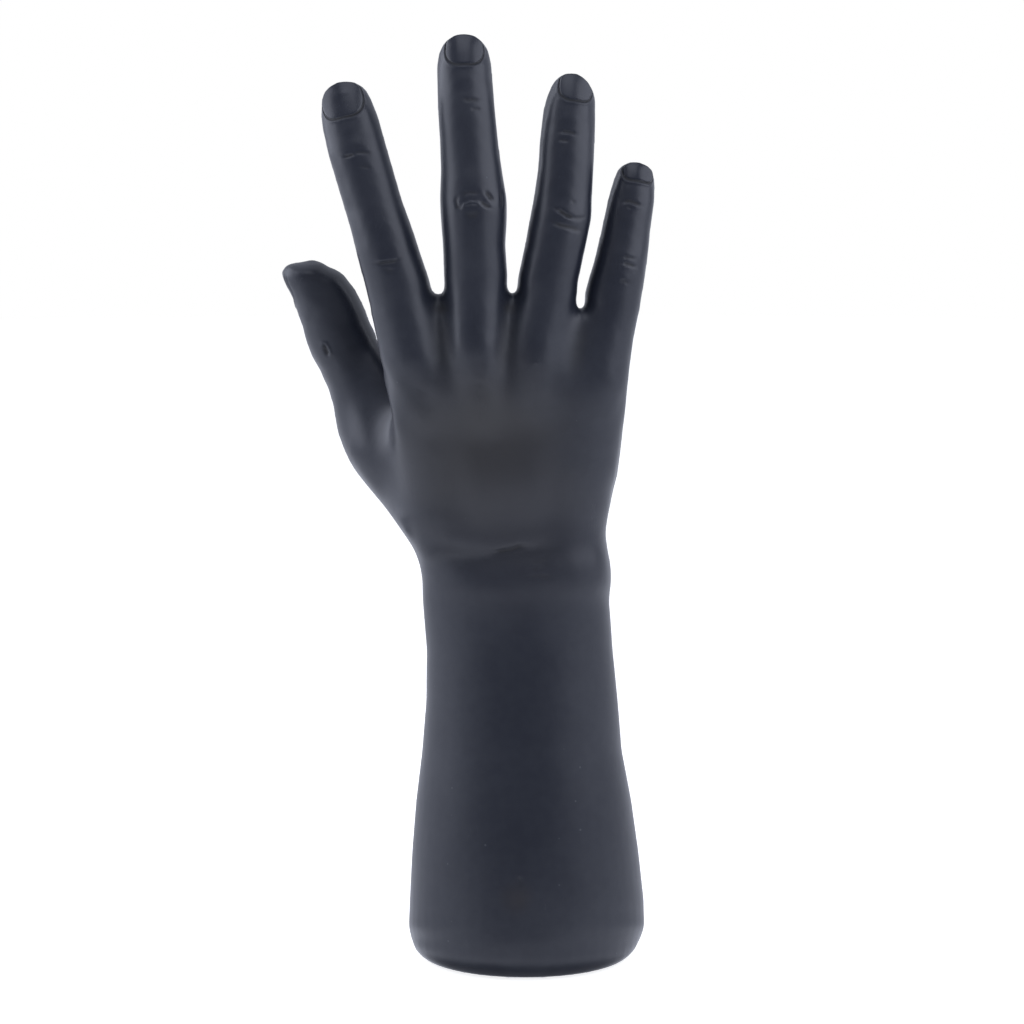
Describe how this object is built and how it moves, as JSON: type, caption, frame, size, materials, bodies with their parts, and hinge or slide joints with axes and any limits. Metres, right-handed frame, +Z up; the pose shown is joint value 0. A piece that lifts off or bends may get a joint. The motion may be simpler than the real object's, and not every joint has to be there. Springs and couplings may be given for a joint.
{
  "type": "hand mannequin",
  "caption": "Standing display hand: a hollow moulded right hand with spread fingers on a cut forearm, closed by a push-in plug under its rounded foot.",
  "frame": {"origin": "middle of the foot's underside, on the surface that the hand stands on", "axes": "+Z up along the forearm to the finger tips, -Y out of the back of the hand, -X to the thumb side"},
  "size_m": [0.1376, 0.072, 0.3431],
  "materials": {
    "skin": "satin",
    "plug": "satin"
  },
  "bodies": {
    "root": {"hand_shell": "skin", "base_plug": "plug"}
  },
  "joints": []
}
